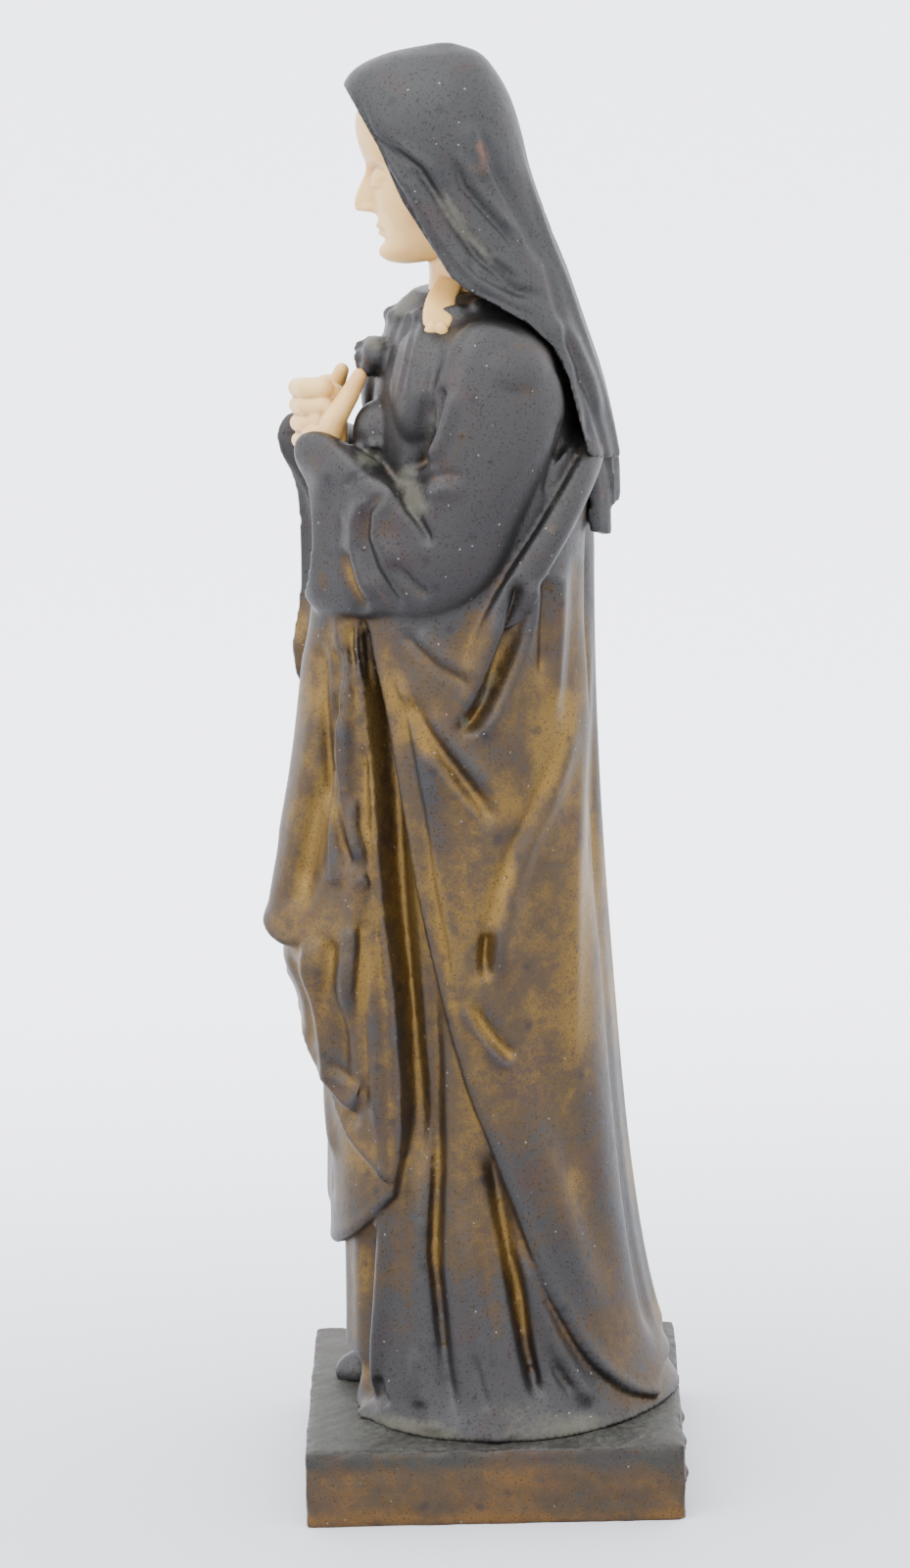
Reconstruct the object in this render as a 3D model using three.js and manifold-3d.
// Statuette of a praying girl: an ivory head and clasped hands in a cast bronze dress, mantle and veil,
// on a square bronze plinth. Millimetres. +X is the figure's left, +Y its back, +Z up, and the origin
// is the centre of the plinth's underside.
import * as THREE from 'three';
import { mergeVertices } from 'three/addons/utils/BufferGeometryUtils.js';
import Module from 'manifold-3d';

const wasm = await Module();
wasm.setup();

// Driving dimensions
const totalHeight = 300;
const plinthSide = 78;
const plinthHeight = 16.35;
const plinthCorner = 1.2;
const plinthBevel = 0.8;
const pieceGap = 0.3;
const girth = 30;              // mean radius of the dress, which turns an angle into a width along the cloth
const mantleThickness = 2.2;
const headHeight = 39.5;       // chin to crown
const headAxisY = -3.2;        // the upright axis through the skull
const chinZ = 257.2;
const headPitch = 8;           // degrees, nodding forward
const eyeSpacing = 5.4;        // centre line to the middle of an eye

// Gown: height, half width, front, back, and the depth at which it is widest
const gownStations = [
  [plinthHeight, 34.8, -30.2, 38.5, 4.2],
  [32, 32.6, -29.4, 31.8, 2.2],
  [60, 30.2, -29, 27, 0],
  [100, 28.8, -28, 23.8, -1],
  [150, 27.8, -26.4, 21.3, -1.2],
  [195, 26.6, -23.2, 21.2, -0.5],
  [222, 26.6, -20, 22.8, 1],
  [232, 26.6, -19, 22.6, 2],
  [240, 24.6, -17.5, 20.5, 2.5],
  [246, 18.6, -15.6, 16.5, 2],
  [250.6, 11, -10.8, 11, 1],
];

// Small maths
const clamp = (t, low = 0, high = 1) => Math.min(high, Math.max(low, t));
const mix = (a, b, t) => a + (b - a) * t;
const bell = (d, width) => Math.exp(-((d / width) ** 2));
const radians = (degrees) => (degrees * Math.PI) / 180;
const point = (x, y, z) => new THREE.Vector3(x, y, z);

function smooth(from, to, value) {
  const t = clamp((value - from) / (to - from));
  return t * t * (3 - 2 * t);
}

// A smooth curve through [position, value] pairs, flat beyond both ends
function through(pairs) {
  const last = pairs.length - 1;
  const slope = (i) => {
    const before = pairs[Math.max(0, i - 1)];
    const after = pairs[Math.min(last, i + 1)];
    return (after[1] - before[1]) / (after[0] - before[0]);
  };
  return (at) => {
    if (at <= pairs[0][0]) return pairs[0][1];
    if (at >= pairs[last][0]) return pairs[last][1];
    const i = pairs.findIndex((pair) => pair[0] > at) - 1;
    const step = pairs[i + 1][0] - pairs[i][0];
    const t = (at - pairs[i][0]) / step;
    const rise = t * t * (3 - 2 * t);
    const lead = t * (1 - t) * (1 - t) * step * slope(i);
    const trail = t * t * (1 - t) * step * slope(i + 1);
    return mix(pairs[i][1], pairs[i + 1][1], rise) + lead - trail;
  };
}

// Evenly spaced numbers from a to b, ends included
const spread = (a, b, count) => Array.from({ length: count }, (_, i) => mix(a, b, i / (count - 1)));

// Solids

// A closed mesh's points and triangles as a solid that faces outwards
function solidFrom(positions, triangles) {
  const geometry = new THREE.BufferGeometry();
  geometry.setAttribute('position', new THREE.Float32BufferAttribute(positions, 3));
  geometry.setIndex(triangles);
  return solidOf(geometry);
}

function solidOf(geometry) {
  const bare = geometry.clone();
  bare.deleteAttribute('normal');
  bare.deleteAttribute('uv');
  const merged = mergeVertices(bare, 1e-4);
  const at = merged.attributes.position.array;
  let corners = Array.from(merged.index.array);
  const triples = [];
  for (let i = 0; i < corners.length; i += 3) {
    const [a, b, c] = corners.slice(i, i + 3);
    if (a !== b && b !== c && c !== a) triples.push([a, b, c]);
  }
  let volume = 0;
  for (const [a, b, c] of triples) {
    const p = new THREE.Vector3().fromArray(at, 3 * a);
    const q = new THREE.Vector3().fromArray(at, 3 * b);
    const r = new THREE.Vector3().fromArray(at, 3 * c);
    volume += p.dot(q.cross(r));
  }
  corners = triples.flatMap(([a, b, c]) => (volume > 0 ? [a, b, c] : [a, c, b]));
  const mesh = new wasm.Mesh({
    numProp: 3,
    vertProperties: Float32Array.from(at),
    triVerts: Uint32Array.from(corners),
  });
  return new wasm.Manifold(mesh);
}

const joined = (solids) => solids.reduce((sum, solid) => sum.add(solid));

// A body from rings of equally many points, closed at both ends by fans
function ringBody(rings) {
  const around = rings[0].length;
  const positions = rings.flat().flatMap((p) => p.toArray());
  const triangles = [];
  for (let row = 0; row + 1 < rings.length; row += 1) {
    for (let i = 0; i < around; i += 1) {
      const a = row * around + i;
      const b = row * around + ((i + 1) % around);
      triangles.push(a, b, b + around, a, b + around, a + around);
    }
  }
  for (const [row, flip] of [[0, true], [rings.length - 1, false]]) {
    const middle = new THREE.Vector3();
    rings[row].forEach((p) => middle.addScaledVector(p, 1 / around));
    const hub = positions.length / 3;
    positions.push(...middle.toArray());
    for (let i = 0; i < around; i += 1) {
      const a = row * around + i;
      const b = row * around + ((i + 1) % around);
      triangles.push(...(flip ? [b, a, hub] : [a, b, hub]));
    }
  }
  return solidFrom(positions, triangles);
}

// A body whose rings are [row of cloth, then one point on the figure's axis]: a wrap of cloth, solid inwards
function wrapBody(rows) {
  return ringBody(rows.map((row) => {
    const first = row[0];
    const last = row[row.length - 1];
    return [...row, point(0, -1, (first.z + last.z) / 2)];
  }));
}

// A round limb between two points, with rounded ends
function limb(from, to, fromRadius, toRadius, sides = 5) {
  const along = to.clone().sub(from).normalize();
  const across = new THREE.Vector3().crossVectors(along, point(0.3, 0.2, 1)).normalize();
  const third = new THREE.Vector3().crossVectors(along, across);
  const stops = [[0, -0.85, 0.5], [0, -0.3, 0.97], [1, 0.3, 0.97], [1, 0.85, 0.5]];
  return ringBody(stops.map(([t, beyond, size]) => {
    const radius = mix(fromRadius, toRadius, t);
    const centre = from.clone().lerp(to, t).addScaledVector(along, beyond * radius);
    return spread(0, 360 - 360 / sides, sides).map((degrees) => centre.clone()
      .addScaledVector(across, Math.cos(radians(degrees)) * radius * size)
      .addScaledVector(third, Math.sin(radians(degrees)) * radius * size));
  }));
}

function ellipsoid(centre, radii, sides = 12, rows = 8) {
  const geometry = new THREE.SphereGeometry(1, sides, rows);
  geometry.scale(...radii);
  geometry.translate(...centre);
  return solidOf(geometry);
}

// Everything between two X planes inside an outline drawn in the side view, as [y, z] pairs
function sidePrism(outline, fromX, toX) {
  const shape = new THREE.Shape(outline.map(([y, z]) => new THREE.Vector2(y, z)));
  const geometry = new THREE.ExtrudeGeometry(shape, { depth: toX - fromX, bevelEnabled: false });
  geometry.applyMatrix4(new THREE.Matrix4().makeBasis(point(0, 1, 0), point(0, 0, 1), point(1, 0, 0)));
  geometry.translate(fromX, 0, 0);
  return solidOf(geometry);
}

// The dressed body. Angles run from the figure's left (0) by its back (90) and right (180) to its front (270)
const gownCurve = [1, 2, 3, 4].map((column) => through(gownStations.map((row) => [row[0], row[column]])));
const frontPower = (z) => mix(2.25, 1.7, smooth(222, 246, z));
const backPower = (z) => mix(1.75, 2.2, smooth(plinthHeight, 80, z));

function gownSection(z) {
  const [halfWidth, front, back, middle] = gownCurve.map((curve) => curve(z));
  return { halfWidth, middle, forward: middle - front, backward: back - middle };
}

const bulge = (value, power) => Math.sign(value) * Math.abs(value) ** (2 / power);

function gownPoint(angle, z, lift = 0) {
  const section = gownSection(z);
  const c = Math.cos(radians(angle));
  const s = Math.sin(radians(angle));
  const power = s > 0 ? backPower(z) : frontPower(z);
  const depth = s > 0 ? section.backward : section.forward;
  const x = section.halfWidth * bulge(c, power) + lift * c;
  const y = section.middle + depth * bulge(s, power) + lift * s;
  return point(x, y, z);
}

// The angle of a place on the gown that the side view shows at depth y
function angleAt(y, z, side = 'left') {
  const section = gownSection(z);
  const off = y - section.middle;
  const power = off > 0 ? backPower(z) : frontPower(z);
  const reach = clamp(Math.abs(off) / (off > 0 ? section.backward : section.forward));
  const angle = (Math.asin(reach ** (power / 2)) * 180) / Math.PI * Math.sign(off);
  return side === 'left' ? angle : 180 - angle;
}

// Folds: a ridge, or with a negative height a furrow, that follows a path of [angle, z] pairs
const fold = (path, width, height) => ({ path, width, height });
const sideFold = (side, places, width, height) => fold(
  places.map(([y, z]) => [angleAt(y, z, side), z]), width, height);

function distanceToPath(angle, z, path) {
  let nearest = Infinity;
  for (let i = 0; i + 1 < path.length; i += 1) {
    const [a0, z0] = path[i];
    const [a1, z1] = path[i + 1];
    const turn = ((angle - a0 + 540) % 360) - 180;
    const p = [radians(turn) * girth, z - z0];
    const q = [radians(a1 - a0) * girth, z1 - z0];
    const t = clamp((p[0] * q[0] + p[1] * q[1]) / (q[0] ** 2 + q[1] ** 2));
    nearest = Math.min(nearest, Math.hypot(p[0] - t * q[0], p[1] - t * q[1]));
  }
  return nearest;
}

const relief = (folds, angle, z) => folds.reduce(
  (sum, { path, width, height }) => sum + height * bell(distanceToPath(angle, z, path), width), 0);

// Dress: the furrows that show between the mantle's edges, and its own hem
const dressFolds = [
  sideFold('left', [[-20, 184], [-18, 158], [-17, 125], [-14.5, 90], [-13.5, 74]], 3.2, -2.6),
  sideFold('left', [[-13, 74], [-11.5, 50], [-9, 24]], 2.6, -2),
  sideFold('left', [[1, 74], [4, 58], [7, 36], [9.5, 24]], 2.6, -2.4),
  sideFold('left', [[-4.5, 62], [-2, 42], [0.6, 20]], 4, 1.2),
  sideFold('left', [[-20.5, 62], [-21.5, 46], [-24, 26]], 2.8, 1.8),
  sideFold('right', [[-14, 50], [-12, 22]], 4, 1.4),
  sideFold('right', [[2, 40], [4, 20]], 4, 1.2),
  fold([[250, 52], [247, 20]], 4, 1.6),
  fold([[290, 54], [294, 26]], 4, -1.8),
];

const dressTop = gownStations[gownStations.length - 1][0];

function dress(grow = 0) {
  const heights = [plinthHeight, 17.4, 24, 34, 48, 64, 84, 112, 148, 190, 214, 230, 240, 247, dressTop];
  const angles = spread(-180, 180 - 360 / 36, 36);
  return ringBody(heights.map((z) => angles.map((angle) => {
    const tucked = z === plinthHeight ? -1 : 0;
    const place = gownPoint(angle, z, tucked + grow + relief(dressFolds, angle, z));
    return z === dressTop ? place.setZ(z + grow) : place;
  })));
}

// Mantle: wraps the back and right side and crosses the front. Its near edge sweeps back to the train,
// its far end is gathered under the left forearm
const mantleNearEdge = through([[29, 38], [49, 20], [75, 4], [105, -8], [146, -19], [170, -31], [184, -52]]);
const mantleGatherEdge = through([[69, 324], [80, 330], [107, 329], [130, 323], [150, 318], [184, 305]]);
const mantleTop = through([
  [-52, 184], [-20, 187], [15, 190], [35, 205], [60, 220], [120, 220], [145, 205], [170, 189],
  [230, 190], [270, 193], [305, 185],
]);
const mantleHem = through([
  [38, 29], [60, 25.5], [90, 23], [135, 23.5], [180, 28], [225, 38], [262, 49], [280, 51], [292, 54], [305, 60], [324, 69],
]);
const mantleFolds = [
  sideFold('left', [[-14, 172], [-7.5, 162], [-1, 153], [2.4, 145]], 3, -1.6),
  sideFold('left', [[8.6, 190], [5, 180], [1, 171], [-3, 166]], 3.2, -2.8),
  sideFold('left', [[12, 184], [8, 172], [2, 161]], 4, 1.6),
  sideFold('left', [[17, 168], [12.5, 152], [6, 139], [0, 122], [-1, 112]], 3.4, 1.4),
  sideFold('left', [[-4, 110], [0, 102], [6, 95]], 3, 1.2),
  sideFold('left', [[19, 190], [18, 150], [15, 110], [15, 70], [17, 40]], 4.4, -1.6),
  sideFold('left', [[22, 195], [20.5, 150], [19.5, 110], [21, 60]], 3.4, 1.6),
  fold([[97, 205], [95, 150], [98, 90], [100, 30]], 5, 1.8),
  fold([[84, 200], [82, 140], [80, 60], [78, 26]], 4, -1.6),
  fold([[118, 200], [122, 150], [124, 90], [120, 28]], 4.4, -2),
  fold([[136, 190], [142, 140], [146, 80], [142, 30]], 5, 2),
  fold([[158, 188], [166, 140], [172, 90], [168, 34]], 4.6, -2),
  fold([[186, 186], [196, 140], [206, 90], [206, 40]], 5, 1.8),
  fold([[206, 188], [222, 150], [234, 105], [240, 60]], 4.6, -2.2),
  fold([[224, 190], [244, 156], [258, 118], [264, 64]], 4.6, 2),
  fold([[244, 192], [264, 166], [276, 132]], 4, -1.8),
  fold([[300, 182], [318, 150], [327, 110], [327, 78]], 2.6, 1.4),
];
const mantleLift = (angle) => mantleThickness + 2.4 * smooth(200, 262, angle) - 1 * smooth(296, 326, angle);
const mantleWelt = 0.8;        // how much its near edge is thickened

function mantle(grow = 0) {
  const across = spread(0, 1, 35);
  const up = [0, 0.03, 0.1, 0.2, 0.3, 0.4, 0.5, 0.6, 0.7, 0.79, 0.88, 1];
  return wrapBody(up.map((v) => {
    const nearAngle = mantleNearEdge(mix(29, 184, v));
    const gatherAngle = mantleGatherEdge(mix(69, 184, v));
    return across.map((u) => {
      const angle = mix(nearAngle, gatherAngle, u);
      const foot = mix(mantleHem(mix(38, 324, u)), mantleHem(angle), 0.5);
      const head = mantleTop(mix(-52, 305, u));
      const z = mix(foot, head, v);
      const lip = v === 0 || v === 1 ? -0.7 : 0;
      const lift = mantleLift(angle) + mantleWelt * bell(angle - nearAngle, 5) + lip + grow;
      const place = gownPoint(angle, z, lift + relief(mantleFolds, angle, z));
      return v === 1 ? place.setZ(z + grow) : place;
    });
  }));
}

// Cascade: two swags of the mantle's end that hang in front of the left hip, the upper one proudest
const swags = [
  {
    hem: through([[250, 126], [262, 112], [275, 101], [290, 93], [300, 89], [309, 84.5], [316, 95]]),
    reach: through([[250, 1], [256, 6.2], [264, 9], [276, 10.4], [290, 8.8], [304, 6], [316, 4.4]]),
    top: 150,
    under: 2,
    fullness: (z) => mix(0.8, 1, smooth(150, 108, z)),
    folds: [fold([[296, 150], [300, 104]], 3, 1.4), fold([[288, 140], [292, 96]], 2.6, -1.6)],
  },
  {
    hem: through([[254, 136], [270, 122.5], [284, 118.6], [292, 118], [302, 121.5], [312, 127.5], [318, 131]]),
    reach: through([[254, 1], [260, 8], [268, 13], [281, 19.4], [292, 16], [303, 10.4], [312, 6.4], [318, 4.4]]),
    top: 190,
    under: 9,
    fullness: (z) => mix(0.46, 1, smooth(196, 116, z)),
    folds: [
      fold([[300, 184], [302, 150], [307, 134]], 2.4, 2),
      fold([[293, 172], [296, 146], [297, 126]], 3, -2.4),
      fold([[309, 178], [311, 140]], 2.2, -1.4),
    ],
  },
];

function swag({ hem, reach, top, under, fullness, folds }) {
  const angles = spread(250, 318, 14);
  const underside = angles.map((angle) => {
    const drop = under * bell(angle - 280, 17);
    return gownPoint(angle, hem(angle) - drop - 0.3, reach(angle) * 0.58);
  });
  return wrapBody([underside, ...spread(0, 1, 6).map((v) => angles.map((angle) => {
    const z = mix(hem(angle), top, v);
    const lip = v === 0 ? -0.6 : 0;
    return gownPoint(angle, z, reach(angle) * fullness(z) + lip + relief(folds, angle, z));
  }))]);
}

// The mantle's rolled upper edge, which stands off the back and runs down under each elbow
function mantleRoll(grow = 0) {
  const route = [
    [-12, 184, -2], [6, 189, 3.6], [24, 199, 4.6], [42, 210, 4.6], [62, 219, 3.6], [90, 221, 3],
    [118, 219, 3.6], [138, 210, 4.4], [156, 199, 4.4], [174, 189, 3.6], [192, 184, -2],
  ];
  const middle = route.map(([angle, z, lift]) => gownPoint(angle, z, lift));
  return ringBody(middle.map((centre, i) => {
    const before = middle[Math.max(0, i - 1)];
    const after = middle[Math.min(middle.length - 1, i + 1)];
    const along = after.clone().sub(before).normalize();
    const out = centre.clone().setZ(0).normalize();
    const up = new THREE.Vector3().crossVectors(along, out).normalize();
    const size = i === 0 || i === middle.length - 1 ? 0.4 : 1;
    return spread(0, 315, 8).map((degrees) => centre.clone()
      .addScaledVector(out, Math.cos(radians(degrees)) * (2.2 + grow) * size)
      .addScaledVector(up, Math.sin(radians(degrees)) * (3.4 + grow) * size));
  }));
}

// Sleeves: wide bags drawn in the side view as [y, z], with the X of their outer and inner faces
const leftSleeve = {
  outline: [
    [0.5, 246.6], [7, 246], [13.5, 242], [18, 235.5], [19, 227], [15.6, 217], [11, 206], [6.4, 196], [-0.5, 188.6],
    [-10, 185], [-19, 186], [-28, 186], [-33.6, 190], [-34.4, 203], [-33.8, 213], [-35.6, 219], [-33, 222.6],
    [-26, 221], [-18, 218], [-11.6, 215], [-8.6, 226], [-6, 239],
  ],
  middle: [-4, 205],
  outerX: through([[-36, 16], [-28, 22.5], [-18, 29.5], [-6, 34], [4, 34.4], [14, 31], [20, 27]]),
  innerX: through([[-36, 5], [-28, 6], [-18, 9], [-6, 12], [20, 12]]),
  folds: [
    { path: [[-11.6, 216], [-16, 204], [-14, 194], [-8, 189]], width: 2.6, height: -2 },
    { path: [[-12, 214], [-10, 206], [-6, 200]], width: 2.4, height: -1.8 },
    { path: [[-20, 218], [-22, 206], [-19, 195], [-13, 190]], width: 2.6, height: 1.6 },
    { path: [[-25, 212], [-26, 200], [-22, 190]], width: 2.2, height: -1.8 },
    { path: [[-6.4, 235], [-8, 224]], width: 2.4, height: -1.8 },
  ],
};
const rightSleeve = {
  outline: [
    [0.5, 246.6], [7, 246], [13.5, 242], [18, 235.5], [19, 227], [15, 216], [10, 204], [4, 193], [-4, 184],
    [-14, 175], [-25, 168], [-32, 165.6], [-37.8, 169], [-38.2, 184], [-37.8, 198], [-37, 210], [-39.6, 218],
    [-38.4, 222.6], [-33, 223], [-24, 220], [-15, 216], [-9, 224], [-6, 239],
  ],
  middle: [-6, 203],
  outerX: through([[-40, 12], [-30, 20], [-18, 28], [-6, 33], [4, 34], [14, 31], [20, 27]]),
  innerX: through([[-40, 3], [-30, 4], [-18, 8], [-6, 12], [20, 12]]),
  folds: [
    { path: [[-14, 214], [-18, 200], [-17, 186]], width: 3, height: -2 },
    { path: [[-22, 216], [-26, 198], [-26, 178]], width: 3, height: 1.6 },
    { path: [[-10, 214], [-6, 204], [-2, 196]], width: 3, height: -1.8 },
  ],
};

function flatDistance([y, z], path) {
  let nearest = Infinity;
  for (let i = 0; i + 1 < path.length; i += 1) {
    const q = [path[i + 1][0] - path[i][0], path[i + 1][1] - path[i][1]];
    const p = [y - path[i][0], z - path[i][1]];
    const t = clamp((p[0] * q[0] + p[1] * q[1]) / (q[0] ** 2 + q[1] ** 2));
    nearest = Math.min(nearest, Math.hypot(p[0] - t * q[0], p[1] - t * q[1]));
  }
  return nearest;
}

function sleeve({ outline, middle, outerX, innerX, folds }, side, grow = 0) {
  const rim = new THREE.CatmullRomCurve3(outline.map(([y, z]) => point(0, y, z)), true, 'centripetal')
    .getPoints(25).slice(0, -1);
  const depthAt = (share, y) => {
    const outer = outerX(y) + grow;
    const inner = innerX(y) - grow;
    return [(outer + inner) / 2, (outer - inner) / 2, Math.sqrt(Math.max(0, 1 - share ** 3.2))];
  };
  const ring = (share, face) => rim.map((edge) => {
    const full = share * (1 + grow / 24);
    const y = mix(middle[0], edge.y, full);
    const z = mix(middle[1], edge.z, full);
    const [centre, half, round] = depthAt(share, y);
    const carved = face > 0 ? folds.reduce(
      (sum, { path, width, height }) => sum + height * bell(flatDistance([y, z], path), width), 0) : 0;
    return point(side * (centre + face * half * round + carved * round), y, z);
  });
  const outerRings = [0.14, 0.4, 0.62, 0.8, 0.93, 0.985].map((share) => ring(share, 1));
  const innerRings = [0.8].map((share) => ring(share, -1));
  return ringBody([...outerRings, ring(1, 1), ...innerRings]);
}

// What the hands press to the breast: gathered ends of the mantle
const bunchedCloth = () => joined([
  ellipsoid([1, -18.6, 235.4], [7.4, 5, 4.4], 8, 5),
  ellipsoid([7.5, -15.4, 236], [5.2, 5, 4.8], 8, 5),
  ellipsoid([9, -16.5, 223], [7, 5, 8.6], 8, 5),
  ellipsoid([9.5, -21.6, 221.5], [5.4, 3.4, 8], 8, 5),
  ellipsoid([-6, -18, 229], [7.4, 5, 10], 8, 5),
]);

const raisedHem = () => ellipsoid([-7, -31, plinthHeight - 0.5], [13, 6.5, 7], 10, 8);
const shoulders = (grow = 0) => joined([-1, 1].map(
  (side) => ellipsoid([side * 17, 4, 236], [14 + grow, 13.6 + grow, 11 + grow], 10, 6)));

const shoe = () => ellipsoid([-10, -24, plinthHeight + 1.2], [4.4, 7.4, 4.2])
  .intersect(sidePrism([[-40, plinthHeight], [0, plinthHeight], [0, 40], [-40, 40]], -30, 30));

// Bell mouths of the two sleeves, and the slit behind the left cuff's hanging band
const sleeveMouths = () => joined([
  ellipsoid([10, -37.5, 203], [4.6, 7.5, 12.5], 8, 6),
  ellipsoid([-8, -41, 195], [4.4, 8, 20], 8, 6),
  ellipsoid([24.5, -27.6, 203], [7, 1.3, 15], 6, 6),
]);

// Ivory head, upright first and then nodded forward about the skull's middle
const faceHalfWidth = through([
  [0, 3.4], [1.5, 6], [4, 8.4], [8, 10.6], [12, 12], [18, 13], [24, 13.2], [30, 12.3], [35, 9.4], [38, 5.4], [39.5, 0.6],
]);
const faceFront = through([
  [0, 12], [1, 14.8], [3.2, 16.2], [6, 15.5], [9, 16], [13, 16.2], [19, 16], [23, 17], [28, 17.4], [32, 16.2],
  [36, 12], [38.5, 6], [39.5, 0.6],
]);
const faceBack = through([
  [0, 3], [4, 6], [10, 10.5], [16, 13], [22, 14], [28, 13.8], [33, 11.8], [36.5, 8.4], [39, 3.6], [39.5, 0.6],
]);
const noseBase = 11.3;
const noseTip = 12.8;
const browHeight = 22;

// How far the features of the face stand out, x from the middle line and h above the chin
function features(x, h) {
  const spot = (x0, h0, wide, high) => bell(Math.abs(x) - x0, wide) * bell(h - h0, high);
  const bridge = smooth(browHeight, noseTip, h) * smooth(noseBase - 0.7, noseTip, h);
  const nose = bridge * 4 * bell(x, mix(1.5, 2.5, smooth(browHeight, noseTip, h)));
  const sockets = -1.9 * spot(eyeSpacing, 19.4, 3, 2.1);
  const lids = 1.3 * spot(eyeSpacing, 18.8, 2.4, 1.4);
  const lips = 0.9 * spot(0, 8.5, 3.2, 0.9) + 0.9 * spot(0, 6.8, 2.8, 0.9);
  return nose + sockets + lids + lips + 0.8 * spot(0, 2.8, 3, 2) + 0.5 * spot(7, 13.5, 3, 3.5);
}

function nodded(p) {
  const pivot = point(0, headAxisY, chinZ + headHeight / 2);
  return p.sub(pivot).applyAxisAngle(point(1, 0, 0), radians(headPitch)).add(pivot);
}

function skull(grow = 0) {
  const frontAngles = spread(204, 336, 15);
  const angles = [...frontAngles, 350, 20, 55, 90, 125, 160, 190];
  const heights = [
    0, 1, 2.8, 4.8, 6.6, 7.7, 8.8, 10.8, 12.6, 14.6, 16.8, 18.6, 20.2, 22.4, 26, 30, 34, 37.4, 39.5,
  ];
  return ringBody(heights.map((h) => angles.map((angle) => {
    const c = Math.cos(radians(angle));
    const s = Math.sin(radians(angle));
    const x = (faceHalfWidth(h) + grow) * bulge(c, 2.15);
    const depth = s < 0 ? faceFront(h) : faceBack(h);
    const forward = s < 0 ? features(x, h) * smooth(0.15, 0.5, -s) : 0;
    const edge = h === 0 ? -grow : h === headHeight ? grow : 0;
    return nodded(point(x, headAxisY + (depth + grow) * bulge(s, 2.15) - forward, chinZ + h + edge));
  })));
}

// Neck, widening into the chest, and the tongue of ivory that lies over the collar on the left
function neck(grow = 0) {
  const rings = [[240, -3, 8.4], [246, -2, 7.2], [252, -1.2, 6.4], [258, -1.2, 6.6], [266, -1.6, 7.6]].map(
    ([z, y, radius]) => spread(0, 324, 10).map((degrees) => point(
      Math.cos(radians(degrees)) * (radius + grow), y + Math.sin(radians(degrees)) * (radius + grow), z)));
  rings[0].forEach((p) => p.setZ(p.z - grow));
  return joined([ringBody(rings), tongue(grow)]);
}

// The tongue's places on the dress: y, z and half width
function tongue(grow = 0) {
  const route = [[-5.6, 245, 1.6], [-5.4, 246.4, 3], [-5, 248.4, 3.4], [-4.6, 250.2, 3.2]];
  const middles = route.map(([y, z]) => gownPoint(angleAt(y, z), z, 0.7));
  middles.push(point(5, -3, 252.6));
  return ringBody(middles.map((middle, i) => {
    const before = middles[Math.max(0, i - 1)];
    const after = middles[Math.min(middles.length - 1, i + 1)];
    const along = after.clone().sub(before).normalize();
    const out = new THREE.Vector3().crossVectors(along, point(0, 1, 0)).normalize();
    const half = i < route.length ? route[i][2] : 3;
    const end = i === 0 ? -grow : 0;
    return spread(0, 315, 8).map((degrees) => middle.clone()
      .addScaledVector(along, end)
      .addScaledVector(out, Math.cos(radians(degrees)) * (1.2 + grow))
      .addScaledVector(point(0, 1, 0), Math.sin(radians(degrees)) * (half + grow)));
  }));
}

const headAndNeck = (grow = 0) => joined([skull(grow), neck(grow)]);

// Hands: the left hand closed over the right, four fingers stacked in front, both thumbs up to the breast
function claspedHands(grow = 0) {
  const wide = (r) => r + grow;
  const bodies = [
    limb(point(9.4, -28, 213), point(6.5, -30.5, 222), wide(3.8), wide(4.4)),
    limb(point(-8.6, -29.5, 213), point(-4, -31, 222), wide(3.8), wide(4.4)),
    limb(point(5, -29.5, 220), point(3.6, -28.8, 229), wide(4.8), wide(4.4)),
    limb(point(-4, -29.6, 220), point(-2.5, -28.6, 229.6), wide(4.8), wide(4.2)),
    limb(point(8.4, -30.5, 220), point(6.8, -22.4, 233), wide(3), wide(1.9)),
    limb(point(-2, -28, 229), point(-1.5, -25.6, 233.6), wide(2.2), wide(1.6)),
  ];
  spread(220.4, 230.4, 4).forEach((z, i) => {
    const radius = wide(mix(1.9, 2.1, i / 3));
    bodies.push(limb(point(6, -30.4, z + 0.8), point(1.4, -34.6, z), radius, radius));
    bodies.push(limb(point(1.4, -34.6, z), point(-6, -31.6, z - 0.6), radius, radius * 0.9));
  });
  return joined(bodies);
}

// Veil: a hood over the head whose ends fall behind the shoulders to the shoulder blades
const veilStations = [
  [212, 22, 6, 30.4, 15], [220, 23.6, 3, 29.4, 13.5], [230, 24.6, 0, 27.6, 12],
  [240, 24, -6, 24.9, 8], [252, 20.4, -12, 21, 5], [262, 18, -18, 17, 3], [272, 17, -21.5, 14, -1],
  [282, 16.6, -23.4, 11.8, -4], [289, 14.8, -24.4, 9.6, -5.4], [294.5, 11, -22, 6.6, -5.4],
  [298, 6.4, -15, 3.3, -5], [totalHeight, 0.8, -4.4, -2, -3.2],
];
const veilCurve = [1, 2, 3, 4].map((column) => through(veilStations.map((row) => [row[0], row[column]])));
const veilSide = [
  [-25.5, 293.6], [-23.2, 291.6], [-21.2, 288.7], [-16.9, 281.2], [-12.4, 270.4], [-6.8, 261.4], [-3, 255.4],
  [0, 252.9], [4.8, 250.6], [12.4, 246], [17, 241.4], [19.9, 235], [22, 226], [23.6, 219], [27, 217],
  [31.6, 215.6], [40, 250], [20, 306], [-20, 306], [-30, 300],
];
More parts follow.
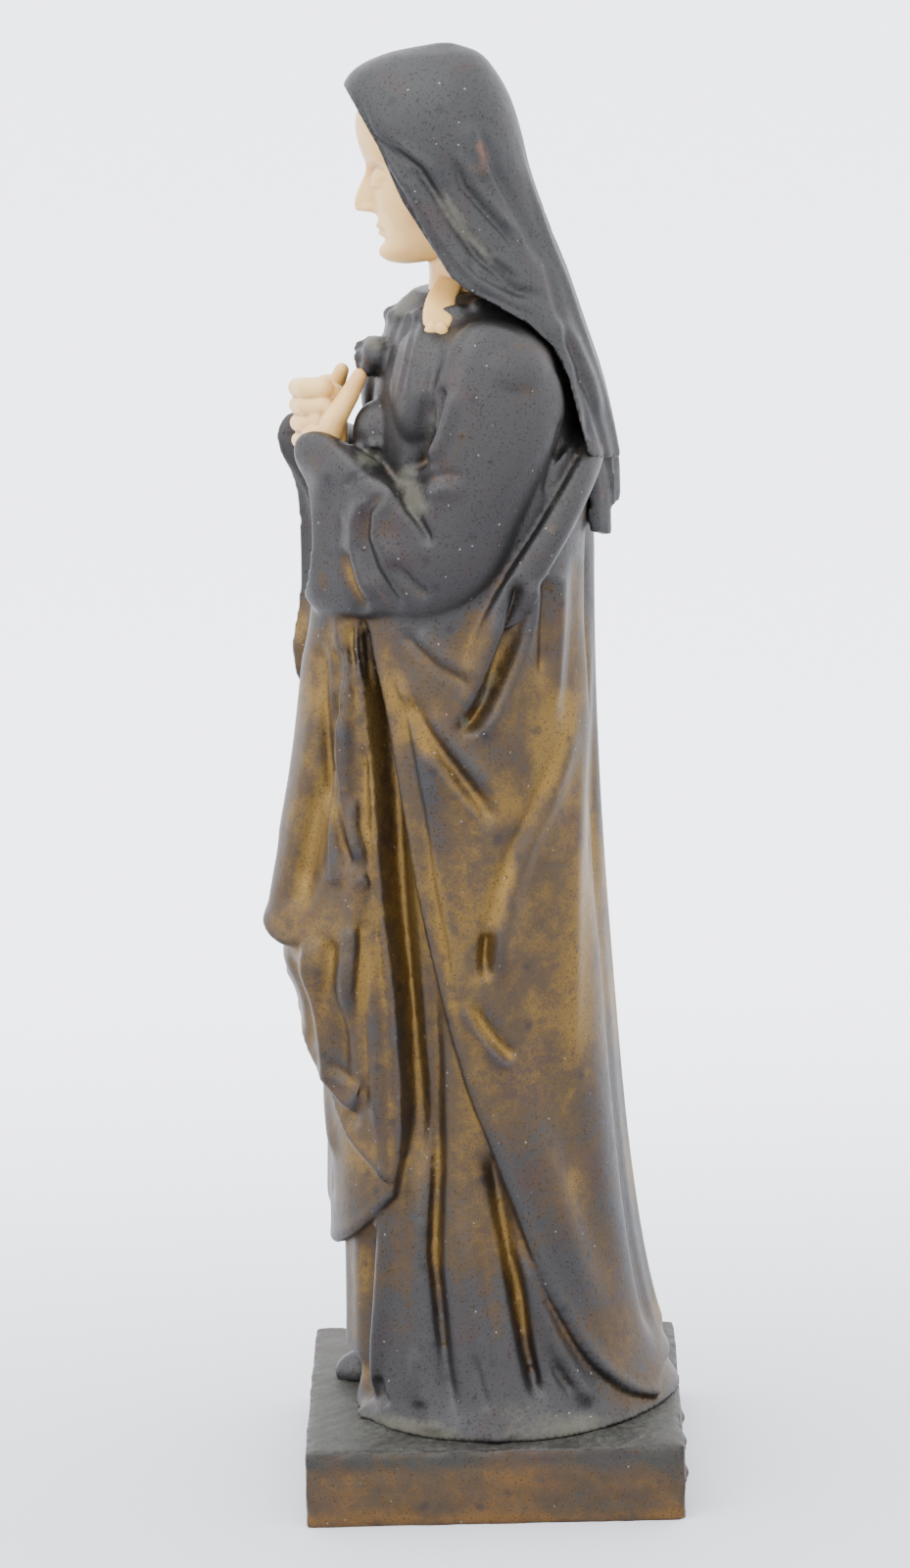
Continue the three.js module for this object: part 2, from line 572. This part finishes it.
const veilFolds = [
  { path: [[-16, 285], [-10, 274], [-3, 263], [4, 255], [16, 248]], width: 1.7, height: -1.1 },
  { path: [[-7, 281], [-2, 268], [5, 256], [16, 247]], width: 1.8, height: 0.9 },
  { path: [[0, 280], [4, 266], [11, 254], [19, 244]], width: 2, height: -1.2 },
  { path: [[6, 284], [10, 268], [15, 255], [21, 242]], width: 2, height: -0.9 },
];

function veilPoint(angle, z, lift) {
  const [halfWidth, front, back, middle] = veilCurve.map((curve) => curve(z));
  const c = Math.cos(radians(angle));
  const s = Math.sin(radians(angle));
  const depth = s > 0 ? back - middle : middle - front;
  return point((halfWidth + lift) * bulge(c, 2.1), middle + (depth + lift) * bulge(s, 2.1), z);
}

function veilBody(lift = 0) {
  const heights = [212, 221, 231, 241, 250, 259, 268, 277, 285, 291.5, 296, 298.8, totalHeight];
  const angles = spread(-180, 180 - 360 / 22, 22);
  return ringBody(heights.map((z) => angles.map((angle) => {
    const plain = veilPoint(angle, z, 0);
    const carved = veilFolds.reduce(
      (sum, { path, width, height }) => sum + height * bell(flatDistance([plain.y, z], path), width), 0);
    return veilPoint(angle, z, lift + carved);
  })));
}

// The veil's end, pleated into tails down the middle of the back: left X, right X, front, back and foot
const veilTails = () => joined([[-6, 7.5, 21, 27.8, 200.2], [-9, 4, 22, 30, 205]].map(
  ([left, right, front, back, foot]) => ringBody([foot, foot + 1.2, 222].map((z, i) => {
    const inset = i === 0 ? 0.8 : 0;
    const [a, b, c, d] = [left + inset, right - inset, front + inset, back - inset];
    const corner = 1.4;
    return [
      [a + corner, c], [b - corner, c], [b, c + corner], [b, d - corner], [b - corner, d], [a + corner, d],
      [a, d - corner], [a, c + corner],
    ].map(([x, y]) => point(x, y, z));
  }))));

function veil() {
  const hood = veilBody().intersect(sidePrism(veilSide, -40, 40)).add(veilTails());
  const hollow = ellipsoid([0, -6, 254.5], [13.4, 12.5, 9.5], 10, 6);
  const body = joined([dress(pieceGap), sleeve(leftSleeve, 1, pieceGap), sleeve(rightSleeve, -1, pieceGap)]);
  const behind = joined([mantle(pieceGap), mantleRoll(pieceGap), shoulders(pieceGap)]);
  return hood.subtract(headAndNeck(pieceGap)).subtract(hollow).subtract(body).subtract(behind);
}

// Figure: one casting of dress, mantle, sleeves, gathered cloth and shoe
function robedFigure() {
  const cloth = joined([
    dress().subtract(raisedHem()), mantle(), ...swags.map((each) => swag(each)), mantleRoll(),
    sleeve(leftSleeve, 1), sleeve(rightSleeve, -1), shoulders(), bunchedCloth(), shoe(),
  ]);
  return cloth.subtract(sleeveMouths()).subtract(headAndNeck(pieceGap)).subtract(claspedHands(pieceGap));
}

// Plinth: a square slab with softened edges
function plinth() {
  const corner = (inset) => {
    const half = plinthSide / 2 - inset;
    const shape = new THREE.Shape();
    const turn = half - plinthCorner;
    shape.absarc(turn, turn, plinthCorner, 0, Math.PI / 2);
    shape.absarc(-turn, turn, plinthCorner, Math.PI / 2, Math.PI);
    shape.absarc(-turn, -turn, plinthCorner, Math.PI, Math.PI * 1.5);
    shape.absarc(turn, -turn, plinthCorner, Math.PI * 1.5, Math.PI * 2);
    return shape.getPoints(2).slice(0, -1);
  };
  const layers = [[0.4, 0], [0, 0.5], [0, plinthHeight - plinthBevel], [plinthBevel, plinthHeight]];
  return ringBody(layers.map(([inset, z]) => corner(inset).map((p) => point(p.x, p.y, z))));
}

const finishes = {
  darkBronze: { color: 0x4a4a4c, roughness: 0.55, metalness: 0.6 },
  giltBronze: { color: 0x7a5f3c, roughness: 0.5, metalness: 0.7 },
  plinthBronze: { color: 0x5a4a38, roughness: 0.6, metalness: 0.6 },
  ivory: { color: 0xe9cfa3, roughness: 0.4, metalness: 0 },
};

function piece(name, solid, finish) {
  const { vertProperties, triVerts } = solid.getMesh();
  const geometry = new THREE.BufferGeometry();
  geometry.setAttribute('position', new THREE.BufferAttribute(Float32Array.from(vertProperties), 3));
  geometry.setIndex(new THREE.BufferAttribute(Uint32Array.from(triVerts), 1));
  geometry.computeVertexNormals();
  const mesh = new THREE.Mesh(geometry, new THREE.MeshStandardMaterial(finishes[finish]));
  mesh.name = name;
  return mesh;
}

const statuette = new THREE.Group();
statuette.add(
  piece('plinth', plinth(), 'plinthBronze'),
  piece('robed_figure', robedFigure(), 'giltBronze'),
  piece('veil', veil(), 'darkBronze'),
  piece('head_and_neck', headAndNeck(), 'ivory'),
  piece('clasped_hands', claspedHands(), 'ivory'),
);

export default statuette;
